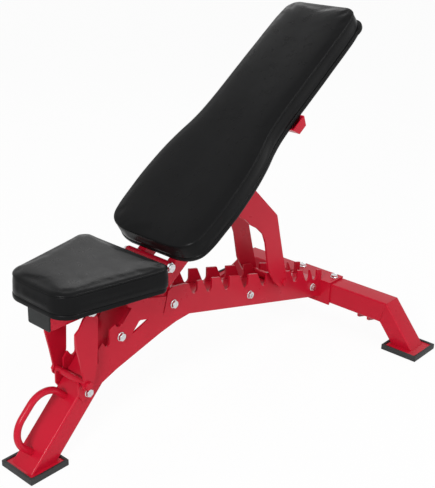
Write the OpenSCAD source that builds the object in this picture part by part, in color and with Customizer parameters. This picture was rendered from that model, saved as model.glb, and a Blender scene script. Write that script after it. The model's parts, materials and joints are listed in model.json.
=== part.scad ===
// Adjustable weight bench: fixed frame, tilting seat and reclining back.
// Millimetres. The bench runs along X with its front foot at low X; Z is up and
// the floor is Z = 0. Side profiles are drawn in station coordinates: x counts
// from the front edge of the front shoe and z from the floor.

// Which sub-part to draw, or all of them.

/* [Frame tubes] */
// Width of the leg, the spine and the seat tube across the bench
tube_w = 70; // [66:1:74]
// Depth of the leg and the spine
tube_h = 50; // [46:1:50]
// Wall of every square tube
tube_wall = 3; // [2:0.5:4]
// Outside corner radius of every square tube
tube_r = 4.5; // [3:0.5:5]
// Fall of the spine towards the rear, in degrees
spine_slope = 14.7; // [14.5:0.1:14.9]
// Lean of the front leg from the vertical, in degrees
leg_lean = 45; // [44.5:0.5:45.5]

/* [Feet] */
// Side of each square rubber shoe
shoe_side = 103; // [100:1:106]
// Height of each rubber shoe
shoe_h = 15; // [14:1:16]
// Side of the steel plate that sits in a shoe
foot_side = 90; // [88:1:92]
// Thickness of the steel foot plate
foot_t = 6; // [5:1:7]
// Height of the shoe's rim above the foot plate
shoe_lip = 3.5; // [2:0.5:4]
// Station of the rear shoes' front edge
rear_shoe_x = 1028; // [1024:1:1030]
// Distance of the rear shoes' centres from the middle plane
rear_shoe_y = 315; // [313:1:318]

/* [Rear beam] */
// Station of the beam's front face
beam_x = 1056; // [1056:1:1058]
// Side of the square beam
beam_side = 60; // [60:1:60]
// Height of the beam's underside
beam_z = 61; // [61:1:62]
// Distance of the beam's outer top corner from the middle plane
beam_end_y = 249.5; // [248:0.5:252]
// Depth of each splayed rear leg
rear_leg_h = 50; // [48:1:52]
// Splay of the rear legs from the vertical, in degrees
rear_splay = 39.4; // [39:0.2:40]
// Half width of the saddle that holds the beam to the spine
saddle_y = 71; // [68:1:74]
// Thickness of the saddle plate
saddle_t = 5; // [4:0.5:5]

/* [Side plates] */
// Thickness of the toothed side plates, the arms and the struts
plate_t = 5; // [4:0.5:5]
// Gap between a side plate and the arm or strut outside it
arm_gap = 9; // [9:0.5:10]
// Height of a back tooth above the spine's underside
tooth_h = 85; // [80:1:88]
// Lean of a back tooth's sloping flank from the vertical, in degrees
back_flank = 26; // [24:1:30]
// Lean of a seat tooth's sloping flank from the vertical, in degrees
seat_flank = 34; // [30:1:36]
// Reach of the seat teeth in front of the leg's front face
seat_tooth_h = 26; // [24:1:27]
// Number of seat notches
seat_notches = 4; // [4:1:4]

/* [Hinge and links] */
// Station of the main axle
axle_x = 398.6; // [398:0.2:399]
// Height of the main axle
axle_z = 382; // [381.6:0.2:382.4]
// Diameter of the main axle
axle_d = 16; // [14:0.5:16]
// Outside diameter of the hinge sleeves
sleeve_d = 26; // [24:1:26]
// Slope of the back pad at rest, which is notch six, in degrees
back_angle = 35.26; // [35.2:0.02:35.3]
// Degrees between neighbouring back notches
notch_step = 9.58; // [9.5:0.02:9.6]
// Number of back notches
back_notches = 9; // [9:1:9]
// Distance along the back from the axle to the arm pivot
arm_pivot_s = 288.4; // [288:0.2:289]
// Depth of the arm pivot behind the axle's line
arm_pivot_n = 30; // [29:0.5:31]
// Diameter of the catch bar that drops into the back notches
catch_d = 20; // [18:1:20]
// Diameter of the bar that drops into the seat notches
seat_bar_d = 16; // [14:1:16]
// Diameter of the arm and strut pivot bolts
link_bolt_d = 12; // [10:1:12]

/* [Pads] */
// Depth of the seat cushion
seat_pad_h = 55; // [50:1:55]
// Front edge of the seat cushion, as a station
seat_front_x = 66; // [64:1:70]
// Rear edge of the seat cushion, as a station
seat_rear_x = 335; // [330:1:335]
// Half width of the seat cushion's front edge
seat_front_y = 91; // [86:1:94]
// Half width of the seat cushion's rear edge
seat_rear_y = 147; // [140:1:149]
// Depth of the back cushion
back_pad_h = 53; // [48:1:53]
// Length of the back cushion
back_pad_l = 783; // [781:1:785]
// Thickness of the plywood in each cushion
board_t = 10; // [8:1:10]

/* [Carry handle] */
// Diameter of the handle's round bar
handle_d = 16; // [14:1:16]
// Stand-off of the bar's centre line from the leg's face
handle_off = 78.5; // [76:0.5:78.5]
// Bend radius of the bar's centre line
handle_r = 53; // [52:1:56]

/* [Transport wheels] */
// Diameter of a wheel
wheel_d = 56; // [52:1:56]
// Width of a wheel
wheel_w = 24; // [20:1:24]
// Distance of the wheels' axles behind the beam
wheel_back = 32; // [31:1:33]
// Height of the wheels' axles
wheel_z = 42; // [41:1:43]
// Distance of each wheel from the middle plane
wheel_y = 165; // [160:1:170]

/* [Hidden] */
facets = 48;
round_facets = 64;
hex_corner = 1 / cos(30);
far = 2000;
run_fit = 0.05;
soft_gap = 0.3;
side_gap = 0.5;
weld = 0.01;
half_w = tube_w / 2;
wheel_x = beam_x + beam_side + wheel_back;
bench_len = wheel_x + wheel_d / 2;
plate_y = half_w + plate_t;
arm_y = plate_y + arm_gap;
arm_out = arm_y + plate_t;

// Frame lines
floor_plate_z = shoe_h - foot_t - shoe_lip;
plate_top_z = floor_plate_z + foot_t;
shoe_rim = (shoe_side - foot_side) / 2;
leg_face_x = 2.6;
leg_span_x = tube_h / cos(leg_lean);
gusset_end = [496.2, 221.8];
saddle_front = beam_x - saddle_t;
slope_run = tan(spine_slope);
leg_run = tan(leg_lean);
function spine_under(x) = gusset_end[1] - slope_run * (x - gusset_end[0]);
spine_rise = tube_h / cos(spine_slope);
function leg_face(z) = leg_face_x + leg_run * z;
function leg_back(z) = leg_face(z) + leg_span_x;
mitre_top_z = (spine_under(leg_face_x) + spine_rise) / (1 + slope_run * leg_run);
mitre_low_z = spine_under(leg_face_x + leg_span_x) / (1 + slope_run * leg_run);
mitre_top = [leg_face(mitre_top_z), mitre_top_z];
mitre_low = [leg_back(mitre_low_z), mitre_low_z];
mitre_up = 2 * mitre_top - mitre_low;
mitre_down = 2 * mitre_low - mitre_top;

// Outer and inner lines of a rear leg, and the mitre between it and the beam
mitre_turn = tan(rear_splay);
outer_line_y = beam_end_y + mitre_turn * (beam_z + beam_side);
inner_line_y = outer_line_y - rear_leg_h / cos(rear_splay);
rear_mitre_top = [beam_end_y, beam_z + beam_side];
rear_mitre_low = [inner_line_y - mitre_turn * beam_z, beam_z];
rear_mitre_up = rear_mitre_top + (rear_mitre_top - rear_mitre_low) / 2;
rear_mitre_down = rear_mitre_low - (rear_mitre_top - rear_mitre_low) / 2;

// Bolts in the frame: stations along the leg or the spine
frame_bolt_d = 10;
frame_bolt_af = 17;
frame_bolt_h = 6;
flange_d = 21;
flange_t = 1.5;
leg_bolt_z = [147.8, 246.7];
leg_bolt_in = 16.5;
spine_bolt_t = [-65, 229, 521.5];
spine_bolt_h = 30;
function leg_bolt_at(z) = [leg_face(z) + leg_bolt_in / cos(leg_lean), z];

// Points on the spine: t runs down the slope, h stands square to it
function on_spine(t, h) = [gusset_end[0] + t * cos(spine_slope) + h * sin(spine_slope),
                           gusset_end[1] - t * sin(spine_slope) + h * cos(spine_slope)];

// Points on the back: s runs up the back from the axle, n stands out of its front
function on_back(s, n, a = back_angle) = [axle_x + s * cos(a) - n * sin(a),
                                          axle_z + s * sin(a) + n * cos(a)];
arm_pivot = on_back(arm_pivot_s, -arm_pivot_n);

// Hex heads on the ends of the two bars
bar_head_af = 17;
bar_head_t = 6;

// Catch bar at rest: notch six, resting in the plates on the spine's top
rest_notch = 5;
bar_h = tube_h + catch_d / 2 + 2 * run_fit;
rest_bar_t = 351.6;
catch_bar = on_spine(rest_bar_t, bar_h);
arm_len = norm(catch_bar - arm_pivot);

// Where the catch bar meets the ladder when the back stands at angle a
function pivot_t(p) = (p[0] - gusset_end[0]) * cos(spine_slope)
                    - (p[1] - gusset_end[1]) * sin(spine_slope);
function pivot_h(p) = (p[0] - gusset_end[0]) * sin(spine_slope)
                    + (p[1] - gusset_end[1]) * cos(spine_slope);
function notch_t(p) = pivot_t(p) + sqrt(pow(arm_len, 2) - pow(pivot_h(p) - bar_h, 2));
low_step = back_angle / (back_notches - 1 - rest_notch);
function notch_angle(i) = back_angle
    + (rest_notch - i) * (i > rest_notch ? low_step : notch_step);
back_notch_t = [for (i = [0:back_notches - 1])
    notch_t(on_back(arm_pivot_s, -arm_pivot_n, notch_angle(i)))];

// Seat bar at rest and the pitch of the seat notches up the leg
seat_bar = [161.7, 176];
seat_pitch = [35.2, 34.9];
strut_pivot = [176, 350];

// Seat heights
seat_tube_z = 327.5;
seat_tube_h = 44.5;
seat_z = seat_tube_z + seat_tube_h;
seat_tube_front = 84;
seat_tube_rear = 360;
end_plate_t = 5;
cap_t = 4;
cap_plug = 14;
seat_corner_r = [52, 26];
seat_chamfer = [8, 12];
board_inset = 8;

// Sleeves along the axle, from the middle out
post_y = half_w - plate_t;
seat_sleeve_y = post_y - side_gap;
back_sleeve_y = post_y + plate_t + side_gap;
sleeve_end_y = half_w + 32;
axle_head_t = 6;
axle_af = 19;
axle_flange_d = 24;
axle_flange_t = 2;

// Back frame
rail_y = [half_w + 2, half_w + 25];
rail_n = [-50, -10];
rail_s = [-22.7, 206];
beam_in_back_y = half_w - 10;
beam_in_back_n = [-43, -10];
beam_in_back_s = [76, 478];
strap_s = [88, 172];
strap_w = 36;
strap_y = 90;
upper_s = [439.5, 489.5];
upper_web_s = [454, 483];
upper_n = -27;
upper_y = 121;
pad_start_s = 21;

// Screws that hold the cushions
screw_d = 8;
screw_head_d = 13;
screw_head_t = 5.5;
screw_bite = 8;
seat_screw_x = [130, 290];
strap_screw_y = 76;
upper_screw_y = 80;

// Wheel ears
ear_gap = 1;
ear_r = 23;
wheel_bolt_d = 10;
wheel_bore_d = wheel_bolt_d + 2 * run_fit;
hub_d = 30;
hub_dish = 3;

// Handle: where the bar meets the leg, measured up the leg's face
handle_u = [56, 194];

// Plate on each side of the leg: low edge, rear end, nub on its top and window
seat_plate_low = [[146.5, 150], [158, 131], [210.7, 152.6], [258.6, 170.1], [324.8, 188.1],
    [396.1, 207], [449.8, 217.9]];
seat_nub = [294.7, 320.5];
seat_nub_drop = 9;
seat_window = [[331, 265.1, 1.5], [360.5, 257.3, 1.5], [306.1, 238.5, 0.8]];
tooth_step = 6;
top_tooth_share = 0.72;

// Plate on each side of the spine: its front end and its top towards the rear, as
// [t, h, corner radius], and the slit between it and the plate on the leg, which reaches
// down to that plate's toe
ladder_front = [[-92, 0, 0], [-92, tube_h + 14, 6], [-77, tube_h + 22.5, 8],
    [-42, tube_h + 27, 6], [-20, tube_h + 26.5, 4], [40, tooth_h, 4]];
ladder_rear = [[350, tooth_h, 60], [600, tooth_h - 7, 0], [600, 0, 0]];
plate_slit = 3;
plate_toe = 9;
notch_steps = 20;
notch_up = 60;

// Upright hinge plates: their foot on the spine, the width of the head
post_foot = [368, 440];
post_r = sleeve_d / 2;
post_taper = 15;

// Saddle on the beam
saddle_drop = -4;
saddle_bolt_y = 55;
saddle_bolt_x = beam_x + 38;
saddle_bolt_in = 14;

// Wheel ears: front edge, and the height where they meet the beam's back
ear_front = [1085, 36];
ear_corner_r = 8;
ear_turn = 20;
ear_top_z = 86;
ear_step = 8;

// Lugs between the seat tube's end plate and its sleeve
lug_y = [20, 26];
lug_z = [330, 369];

// Strut and arm outlines, as [x, z, corner radius], with their round heads
strut_edge = [[157.5, 340, 6], [143.3, 317.8, 10], [131.3, 309.1, 6], [133.7, 276.8, 20],
    [144.5, 228.3, 60], [152.5, 186, 10], [149, 174, 8], [152, 164, 8], [171, 163.5, 8],
    [179, 176, 10], [190, 214, 40], [195, 332, 8]];
arm_edge = [[636, 530, 8], [642, 470, 30], [654.4, 428.5, 10], [676.7, 415.9, 20],
    [700.1, 394.3, 20], [726.4, 378.4, 20], [751.2, 355.9, 24], [763.6, 328.1, 30],
    [780.7, 253.8, 30], [788.4, 236.9, 20], [805.9, 209.3, 10], [834.7, 180.5, 6],
    [851.5, 173, 12], [866, 178, 9], [863.7, 200, 20], [842.1, 267.9, 80], [823.9, 330.5, 60],
    [806.5, 392.5, 18], [716.7, 477.9, 60], [672, 524, 8], [664, 540, 8], [640, 542, 8]];
link_head_r = 18.5;
link_head_h = 7;
link_af = 19;
link_flange_d = 24;

// Back cushion's half outline: [along the back from its lower end, half width]
back_edge = [[0, -34], [0, 34], [0, 69], [8, 104], [28, 128], [62, 137.5], [110, 140.5], [152, 142],
    [200, 140.5], [250, 136.5], [300, 128.5], [340, 119.5], [380, 114], [440, 111.5], [520, 111.5],
    [578, 111.5], [622, 111], [662, 111], [715, 110], [750, 107], [back_pad_l, 106]];
back_top_r = 33;
edge_steps = 4;

paint = [0.78, 0.10, 0.15];
zinc = [0.78, 0.79, 0.80];
black = [0.09, 0.10, 0.10];
vinyl = [0.06, 0.06, 0.07];
board_col = [0.13, 0.12, 0.11];

// ---------------------------------------------------------------- helpers

// Outline with its corners rounded; each entry is [x, y, radius]
function rounded(pts) = [for (i = [0:len(pts) - 1]) each corner(
    pts[(i + len(pts) - 1) % len(pts)], pts[i], pts[(i + 1) % len(pts)])];
function flat(p) = [p[0], p[1]];
function corner(a, p, b) = let (r = p[2]) r == 0 ? [flat(p)] :
    let (u = flat(a) - flat(p), v = flat(b) - flat(p), un = u / norm(u), vn = v / norm(v),
         half = acos(un * vn) / 2, reach = r / tan(half),
         mid = (un + vn) / norm(un + vn), c = flat(p) + mid * r / sin(half),
         p0 = flat(p) + un * reach - c, p1 = flat(p) + vn * reach - c,
         a0 = atan2(p0[1], p0[0]), da = atan2(p1[1], p1[0]) - a0,
         turn = da > 180 ? da - 360 : (da < -180 ? da + 360 : da),
         n = max(2, ceil(abs(turn) / 8)))
    [for (k = [0:n]) c + r * [cos(a0 + turn * k / n), sin(a0 + turn * k / n)]];

// Smooth line through points, for the back cushion's waist
function glide(a, b, c, d, t) = 0.5 * (2 * b + (c - a) * t
    + (2 * a - 5 * b + 4 * c - d) * t * t + (3 * b - a - 3 * c + d) * t * t * t);
function smooth_line(pts, n) = [for (i = [1:len(pts) - 3], k = [0:n - 1])
    glide(pts[i - 1], pts[i], pts[i + 1], pts[i + 2], k / n)];

// Everything is drawn in station coordinates and set about the middle
module placed() translate([-bench_len / 2, 0, 0]) children();

// A side profile given thickness between two distances from the middle plane
module slab(y0, y1) translate([0, y1, 0]) rotate([90, 0, 0]) linear_extrude(y1 - y0) children();

// The same on the near side (-1) or the far side (+1)
module flank(sgn, y0, y1) slab(sgn > 0 ? y0 : -y1, sgn > 0 ? y1 : -y0) children();

// A rod or bore square to the side profile
module rod(p, d, y0, y1, f = facets) translate([p[0], y1, p[1]]) rotate([90, 0, 0])
    cylinder(d = d, h = y1 - y0, $fn = f);

// Lays a child drawn as [along the back, out of its front] on the back
module back_slab(y0, y1) slab(y0, y1) translate([axle_x, axle_z]) rotate(back_angle) children();

// Lays a child drawn in the back's own plane, x along the back and y across
module on_back_plane(n0, h) translate([axle_x, 0, axle_z]) rotate([0, -back_angle, 0])
    translate([0, 0, n0]) linear_extrude(h) children();

// Square tube with rounded corners, lying along X about the origin
function box_corners(w, h, r) = rounded([[-w / 2, -h / 2, r], [w / 2, -h / 2, r],
    [w / 2, h / 2, r], [-w / 2, h / 2, r]]);
module box_bar(w, h, len, r = tube_r) rotate([90, 0, 90]) linear_extrude(len, center = true)
    polygon(box_corners(w, h, r));
module box_tube(w, h, len = 2 * far) difference() {
    box_bar(w, h, len);
    box_bar(w - 2 * tube_wall, h - 2 * tube_wall, 2 * len, tube_r - tube_wall / 2);
}

// Head or nut with its flange, its seat at distance y and facing out on side sgn
module flanged(p, sgn, y, af, h, fd, ft) {
    flank(sgn, y, y + ft) translate(p) circle(d = fd, $fn = facets);
    flank(sgn, y + ft, y + ft + h) translate(p) circle(d = af * hex_corner, $fn = 6);
}

// Bar across a pair of arms, with a hex head outside each arm
module headed_bar(p, d) {
    rod(p, d, -arm_out, arm_out);
    for (sgn = [-1, 1]) flank(sgn, arm_out, arm_out + bar_head_t) translate(p)
        circle(d = bar_head_af * hex_corner, $fn = 6);
}

// A flanged nut, open for its bolt
module flanged_nut(p, sgn, y, d, af, h, fd, ft) difference() {
    flanged(p, sgn, y, af, h, fd, ft);
    rod(p, d, -far, far);
}

// ---------------------------------------------------------------- feet

module shoe(x, y) color(black) placed() difference() {
    translate([x, y - shoe_side / 2, 0]) cube([shoe_side, shoe_side, shoe_h]);
    translate([x + shoe_rim, y - foot_side / 2, floor_plate_z])
        cube([foot_side, foot_side, shoe_h]);
}

module foot_plate(x, y) color(paint) placed()
    translate([x + shoe_rim, y - foot_side / 2, floor_plate_z])
        cube([foot_side, foot_side, foot_t]);

module front_shoe() shoe(0, 0);
module front_foot_plate() foot_plate(0, 0);
module rear_foot_plate(sgn) foot_plate(rear_shoe_x, sgn * rear_shoe_y);
module rear_shoe(sgn) shoe(rear_shoe_x, sgn * rear_shoe_y);

// ---------------------------------------------------------------- leg and spine

module leg_bores() for (z = leg_bolt_z) rod(leg_bolt_at(z), frame_bolt_d, -far, far);
module spine_bores() for (t = spine_bolt_t)
    rod(on_spine(t, spine_bolt_h), frame_bolt_d, -far, far);

module front_leg() color(paint) placed() difference() {
    intersection() {
        translate([leg_face_x + leg_span_x / 2, 0, 0]) rotate([0, leg_lean - 90, 0])
            box_tube(tube_w, tube_h);
        slab(-tube_w, tube_w) polygon([[-tube_h, plate_top_z], mitre_up, mitre_down,
            [leg_back(plate_top_z) + tube_h, plate_top_z]]);
    }
    leg_bores();
}

module spine() color(paint) placed() difference() {
    intersection() {
        translate([on_spine(0, tube_h / 2)[0], 0, on_spine(0, tube_h / 2)[1]])
            rotate([0, spine_slope, 0]) box_tube(tube_w, tube_h);
        slab(-tube_w, tube_w) polygon([mitre_down, mitre_up, [saddle_front, far],
            [saddle_front, -far]]);
    }
    spine_bores();
}

// Round bar bent to a loop on the leg's front face
module carry_handle() color(paint) placed() rotate([90, 0, 0]) {
    translate([leg_face_x, 0, 0]) rotate(90 - leg_lean) {
        straight = handle_u[1] - handle_u[0] - 2 * handle_r;
        for (k = [0, 1]) {
            u = handle_u[k];
            dir = 1 - 2 * k;
            translate([u, 0, 0]) rotate([-90, 0, 0])
                cylinder(d = handle_d, h = handle_off - handle_r, $fn = facets);
            translate([u + dir * handle_r, handle_off - handle_r, 0])
                rotate(k == 0 ? 90 : 0) rotate_extrude(angle = 90, $fn = round_facets)
                    translate([handle_r, 0]) circle(d = handle_d, $fn = facets);
        }
        translate([handle_u[0] + handle_r, handle_off, 0]) rotate([0, 90, 0])
            cylinder(d = handle_d, h = straight, $fn = facets);
    }
}

// ---------------------------------------------------------------- toothed plates

// Open notch for a bar: round floor, upright rear wall, leaning front wall
module notch(c, r, lean, up = notch_up) translate(c) polygon(concat(
    [for (k = [0:notch_steps]) let (a = -k * (180 - lean) / notch_steps) r * [cos(a), sin(a)]],
    [[-up * tan(lean) - r / cos(lean), up], [r, up]]));

// Point above the leg's front face at station x, at a share of the seat teeth's height
function crest_at(x, share = 1) =
    [x, (x - leg_face_x) / leg_run + share * seat_tooth_h / sin(leg_lean)];

// Plate on each side of the leg, with the seat notches up its front edge
module seat_ladder(sgn) color(paint) placed() difference() {
    last = seat_bar + (seat_notches - 1) * seat_pitch;
    step = tooth_step;
    nub_z = crest_at(seat_nub[0], 0)[1] + 2 * step;
    flank(sgn, half_w, plate_y) difference() {
        polygon(concat(seat_plate_low, [gusset_end,
            on_spine(ladder_front[0][0], 0), on_spine(ladder_front[0][0], plate_toe),
            on_spine(ladder_front[0][0] - plate_slit, plate_toe),
            on_spine(ladder_front[0][0] - plate_slit, tube_h),
            [mitre_top[0], seat_nub[1]], seat_nub, [seat_nub[0], seat_nub[1] - seat_nub_drop],
            [leg_face(nub_z), nub_z], [leg_face(last[1] - step), last[1] - step],
            crest_at(last[0] - step, top_tooth_share), crest_at(last[0] - 4 * step),
            crest_at(seat_plate_low[0][0])]));
        for (k = [0:seat_notches - 1])
            notch(seat_bar + k * seat_pitch, seat_bar_d / 2 + 4 * run_fit, seat_flank);
        polygon(rounded(seat_window));
    }
    leg_bores();
}

// Plate on each side of the spine, with the back notches along its top
module back_ladder(sgn) color(paint) placed() difference() {
    flank(sgn, half_w, plate_y) difference() {
        translate(gusset_end) rotate(-spine_slope)
            polygon(rounded(concat(ladder_front, ladder_rear)));
        for (t = back_notch_t) notch(on_spine(t, bar_h), catch_d / 2 + run_fit, back_flank);
        translate([saddle_front, -far]) square(2 * far);
    }
    spine_bores();
}

// ---------------------------------------------------------------- frame bolts

module frame_bolt(p, sgn) {
    rod(p, frame_bolt_d, -plate_y - flange_t, plate_y + flange_t);
    flanged(p, sgn, plate_y, frame_bolt_af, frame_bolt_h, flange_d, flange_t);
    flank(-sgn, plate_y, plate_y + flange_t + frame_bolt_h) translate(p)
        circle(d = frame_bolt_d, $fn = facets);
}
module frame_nut(p, sgn)
    flanged_nut(p, -sgn, plate_y, frame_bolt_d, frame_bolt_af, frame_bolt_h, flange_d, flange_t);

// The rearmost bolt goes in from the far side
function spine_bolt_side(i) = i == len(spine_bolt_t) - 1 ? 1 : -1;

module leg_bolts() color(zinc) placed() for (z = leg_bolt_z) frame_bolt(leg_bolt_at(z), -1);
module leg_nuts() color(zinc) placed() for (z = leg_bolt_z) frame_nut(leg_bolt_at(z), -1);
module spine_bolts() color(zinc) placed() for (i = [0:len(spine_bolt_t) - 1])
    frame_bolt(on_spine(spine_bolt_t[i], spine_bolt_h), spine_bolt_side(i));
module spine_nuts() color(zinc) placed() for (i = [0:len(spine_bolt_t) - 1])
    frame_nut(on_spine(spine_bolt_t[i], spine_bolt_h), spine_bolt_side(i));

// ---------------------------------------------------------------- main hinge

// Upright plate from the spine's top to the main axle
module hinge_post(sgn) color(paint) placed() difference() {
    flank(sgn, post_y, post_y + plate_t) {
        polygon([[post_foot[0], spine_under(post_foot[0]) + spine_rise],
            [post_foot[1], spine_under(post_foot[1]) + spine_rise],
            [axle_x + post_r * cos(post_taper), axle_z + post_r * sin(post_taper)],
            [axle_x - post_r * cos(post_taper), axle_z + post_r * sin(post_taper)]]);
        translate([axle_x, axle_z]) circle(r = post_r, $fn = facets);
    }
    rod([axle_x, axle_z], axle_d, -far, far);
}

module main_axle() color(zinc) placed() {
    rod([axle_x, axle_z], axle_d, -sleeve_end_y - side_gap - weld,
        sleeve_end_y + side_gap + axle_flange_t + axle_head_t);
    flanged([axle_x, axle_z], -1, sleeve_end_y + side_gap, axle_af, axle_head_t,
        axle_flange_d, axle_flange_t);
}
module axle_nut() color(zinc) placed() flanged_nut([axle_x, axle_z], 1, sleeve_end_y + side_gap,
    axle_d, axle_af, axle_head_t, axle_flange_d, axle_flange_t);

// ---------------------------------------------------------------- rear beam

module saddle_bores() for (sgn = [-1, 1]) translate([saddle_bolt_x, sgn * saddle_bolt_y, beam_z])
    cylinder(d = frame_bolt_d, h = far, $fn = facets);

module beam_saddle() color(paint) placed() difference() {
    translate([saddle_front, -saddle_y, beam_z + saddle_drop])
        cube([beam_side + saddle_t, 2 * saddle_y, beam_side + saddle_t - saddle_drop]);
    translate([beam_x, -far, -far]) cube([far, 2 * far, far + beam_z + beam_side]);
    saddle_bores();
}

module saddle_bolts() color(zinc) placed() for (sgn = [-1, 1])
    translate([saddle_bolt_x, sgn * saddle_bolt_y, beam_z + beam_side]) {
        translate([0, 0, -saddle_bolt_in])
            cylinder(d = frame_bolt_d, h = saddle_bolt_in + saddle_t + weld, $fn = facets);
        translate([0, 0, saddle_t]) cylinder(d = flange_d, h = flange_t, $fn = facets);
        translate([0, 0, saddle_t + flange_t])
            cylinder(d = frame_bolt_af * hex_corner, h = frame_bolt_h, $fn = 6);
    }

// A child drawn as [across, up], given the beam's width in X
module across_beam(x0, x1) translate([x0, 0, 0]) rotate([90, 0, 90]) linear_extrude(x1 - x0)
    children();

module rear_beam() color(paint) placed() difference() {
    intersection() {
        translate([beam_x + beam_side / 2, 0, beam_z + beam_side / 2]) rotate([0, 0, 90])
            box_tube(beam_side, beam_side);
        across_beam(0, far) polygon([[-rear_mitre_up[0], rear_mitre_up[1]], rear_mitre_up,
            rear_mitre_down, [-rear_mitre_down[0], rear_mitre_down[1]]]);
    }
    saddle_bores();
}

module rear_leg(sgn) color(paint) placed() mirror([0, sgn > 0 ? 0 : 1, 0]) intersection() {
    translate([beam_x + beam_side / 2, (outer_line_y + inner_line_y) / 2, 0])
        rotate([rear_splay - 90, 0, 0]) rotate([0, 0, 90]) box_tube(beam_side, rear_leg_h);
    across_beam(0, far) polygon([rear_mitre_up, rear_mitre_down,
        [rear_mitre_down[0], plate_top_z], [outer_line_y + beam_side, plate_top_z],
        [outer_line_y + beam_side, rear_mitre_up[1]]]);
}

// Pair of plates under the beam that carry a wheel behind it
module wheel_ears(sgn) color(paint) placed() for (k = [-1, 1]) difference() {
    y0 = sgn * wheel_y + k * (wheel_w / 2 + ear_gap + plate_t / 2);
    slab(y0 - plate_t / 2, y0 + plate_t / 2) {
        polygon(rounded([[ear_front[0], beam_z, 0], [ear_front[0], ear_front[1], ear_corner_r],
            [wheel_x - ear_r * sin(ear_turn), wheel_z - ear_r * cos(ear_turn), 0],
            [wheel_x, wheel_z, 0],
            [wheel_x + ear_r * sin(leg_lean), wheel_z + ear_r * cos(leg_lean), 0],
            [beam_x + beam_side + ear_step, ear_top_z, 0], [beam_x + beam_side, ear_top_z, 0],
            [beam_x + beam_side, beam_z, 0]]));
        translate([wheel_x, wheel_z]) circle(r = ear_r, $fn = facets);
    }
    rod([wheel_x, wheel_z], wheel_bolt_d, -far, far);
}

module wheel_bolt(sgn) color(zinc) placed() {
    out = wheel_w / 2 + ear_gap + plate_t;
    translate([0, sgn * wheel_y, 0]) {
        rod([wheel_x, wheel_z], wheel_bolt_d, -out - flange_t, out + flange_t);
        for (k = [-1, 1]) flanged([wheel_x, wheel_z], k, out, frame_bolt_af, frame_bolt_h,
            flange_d, flange_t);
    }
}

module wheel(sgn) color(black) placed() translate([wheel_x, sgn * wheel_y, wheel_z])
    rotate([90, 0, 0]) difference() {
        cylinder(d = wheel_d, h = wheel_w, center = true, $fn = round_facets);
        cylinder(d = wheel_bore_d, h = far, center = true, $fn = facets);
        for (k = [-1, 1]) translate([0, 0, k * wheel_w / 2]) difference() {
            cylinder(d = wheel_d - 4 * hub_dish, h = 2 * hub_dish, center = true, $fn = facets);
            cylinder(d = hub_d / 2 + hub_dish, h = far, center = true, $fn = facets);
        }
    }

// ---------------------------------------------------------------- seat

function seat_outline(in) = let (run = (seat_rear_y - seat_front_y) / (seat_rear_x - seat_front_x),
        front_y = seat_front_y + run * in - in * (1 + run / 2),
        rear_y = seat_rear_y - run * in - in * (1 + run / 2))
    rounded([[seat_front_x + in, -front_y, seat_corner_r[0] - in],
        [seat_rear_x - in, -rear_y, seat_corner_r[1] - in],
        [seat_rear_x - in, rear_y, seat_corner_r[1] - in],
        [seat_front_x + in, front_y, seat_corner_r[0] - in]]);

module seat_pad() color(vinyl) placed() difference() {
    union() {
        translate([0, 0, seat_z + soft_gap]) linear_extrude(seat_pad_h - seat_chamfer[1] - soft_gap)
            polygon(seat_outline(0));
        hull() {
            translate([0, 0, seat_z + seat_pad_h - seat_chamfer[1]]) linear_extrude(weld)
                polygon(seat_outline(0));
            translate([0, 0, seat_z + seat_pad_h - weld]) linear_extrude(weld)
                polygon(seat_outline(seat_chamfer[0]));
        }
    }
    linear_extrude(seat_z + board_t + soft_gap) polygon(seat_outline(board_inset - soft_gap));
}

module seat_screw_bores() for (x = seat_screw_x)
    translate([x, 0, 0]) cylinder(d = screw_d, h = seat_z + screw_bite, $fn = facets);

module seat_board() color(board_col) placed() difference() {
    translate([0, 0, seat_z]) linear_extrude(board_t) polygon(seat_outline(board_inset));
    seat_screw_bores();
}

module seat_tube() color(paint) placed() difference() {
    translate([(seat_tube_front + seat_tube_rear) / 2, 0, seat_tube_z + seat_tube_h / 2])
        box_tube(tube_w, seat_tube_h, seat_tube_rear - seat_tube_front);
    rod(strut_pivot, sleeve_d, -far, far);
    seat_screw_bores();
}

module seat_tube_cap() color(black) placed() {
    mid_z = seat_tube_z + seat_tube_h / 2;
    translate([seat_tube_front - cap_t / 2, 0, mid_z]) box_bar(tube_w, seat_tube_h, cap_t);
    translate([seat_tube_front + cap_plug / 2 - weld, 0, mid_z]) box_bar(tube_w - 2 * tube_wall,
        seat_tube_h - 2 * tube_wall, cap_plug, tube_r - tube_wall / 2);
}

// Plate that closes the seat tube, two lugs and the sleeve that turns on the axle
module seat_hinge() color(paint) placed() difference() {
    union() {
        translate([seat_tube_rear + end_plate_t / 2, 0, seat_tube_z + seat_tube_h / 2])
            box_bar(tube_w, seat_tube_h, end_plate_t);
        for (sgn = [-1, 1]) flank(sgn, lug_y[0], lug_y[1]) polygon([
            [seat_tube_rear + weld, lug_z[0]], [axle_x, axle_z - sleeve_d / 2 + weld],
            [axle_x, axle_z + sleeve_d / 2 - weld], [seat_tube_rear + weld, lug_z[1]]]);
        rod([axle_x, axle_z], sleeve_d, -seat_sleeve_y, seat_sleeve_y, round_facets);
    }
    rod([axle_x, axle_z], axle_d + 2 * run_fit, -far, far);
}

// Cross tube through the seat tube that the strut hangs from
module cross_sleeve(p) difference() {
    rod(p, sleeve_d, -arm_y + side_gap, arm_y - side_gap, round_facets);
    rod(p, link_bolt_d, -far, far);
}
module strut_sleeve() color(paint) placed() cross_sleeve(strut_pivot);

module seat_screws() color(zinc) placed() for (x = seat_screw_x) {
    translate([x, 0, seat_tube_z - screw_head_t])
        cylinder(d = screw_head_d, h = screw_head_t + weld, $fn = facets);
    translate([x, 0, seat_tube_z])
        cylinder(d = screw_d, h = seat_tube_h + screw_bite, $fn = facets);
}

// ---------------------------------------------------------------- seat strut

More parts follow.
